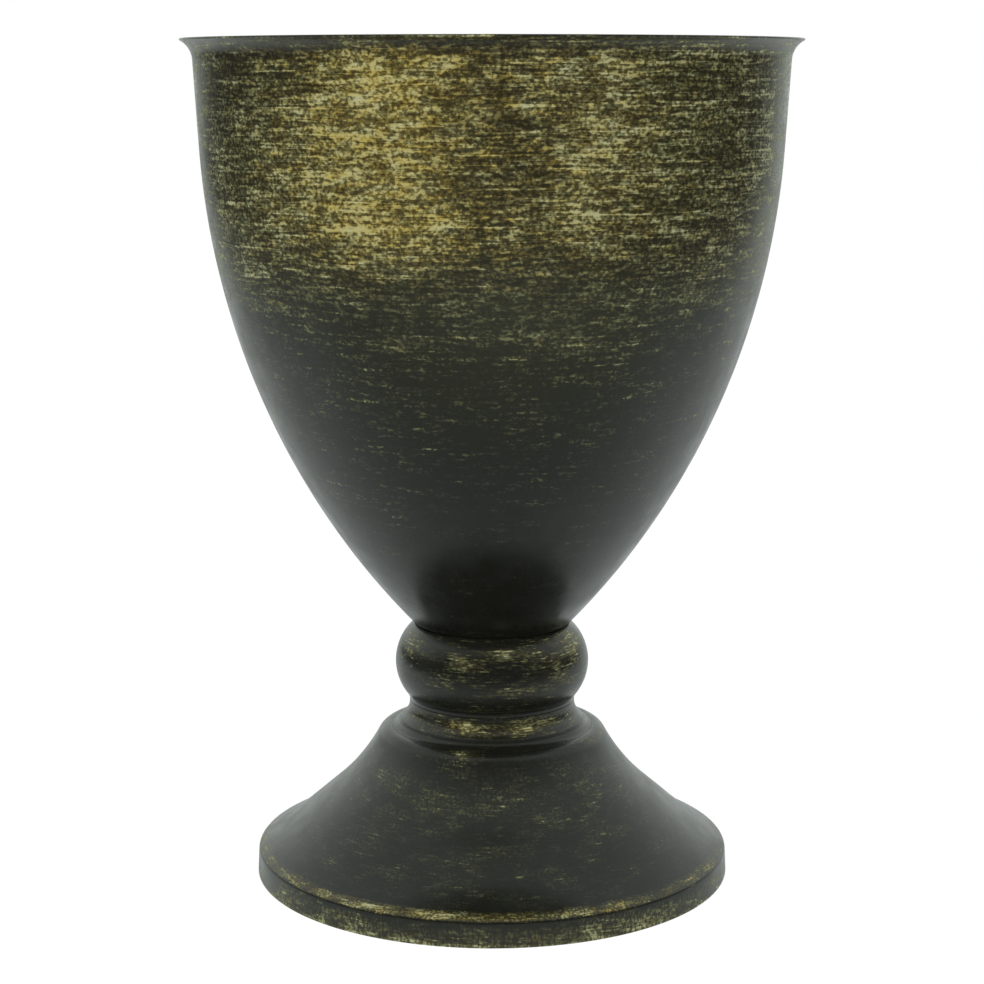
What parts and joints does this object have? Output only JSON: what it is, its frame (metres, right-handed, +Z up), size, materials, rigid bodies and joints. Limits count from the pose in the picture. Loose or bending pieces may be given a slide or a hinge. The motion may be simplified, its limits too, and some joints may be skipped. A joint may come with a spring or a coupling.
{
  "type": "tabletop urn",
  "caption": "Footed tabletop urn of spun sheet metal: deep flared bowl on a round bead, a ridged collar and a hollow flared foot, clamped by one hidden bolt.",
  "frame": {"origin": "centre of the circle on which the foot's cut edge stands, at the floor", "axes": "+Z up along the axis of revolution; +X and +Y are equal, since the urn is round"},
  "size_m": [0.15, 0.15, 0.2084],
  "materials": {
    "antique_paint": "satin black-olive enamel, dry-brushed with gold",
    "zinc_steel": "bright zinc plate",
    "seal_rubber": "matt black"
  },
  "bodies": {
    "root": {"bowl_shell": "antique_paint", "stem_bead": "antique_paint", "stem_collar": "antique_paint", "foot_shell": "antique_paint", "stem_sleeve": "zinc_steel", "bowl_seal": "seal_rubber", "bowl_washer": "zinc_steel", "backing_plate": "zinc_steel", "flat_washer": "zinc_steel", "spring_washer": "zinc_steel", "tie_bolt": "zinc_steel", "hex_nut": "zinc_steel"}
  },
  "joints": []
}
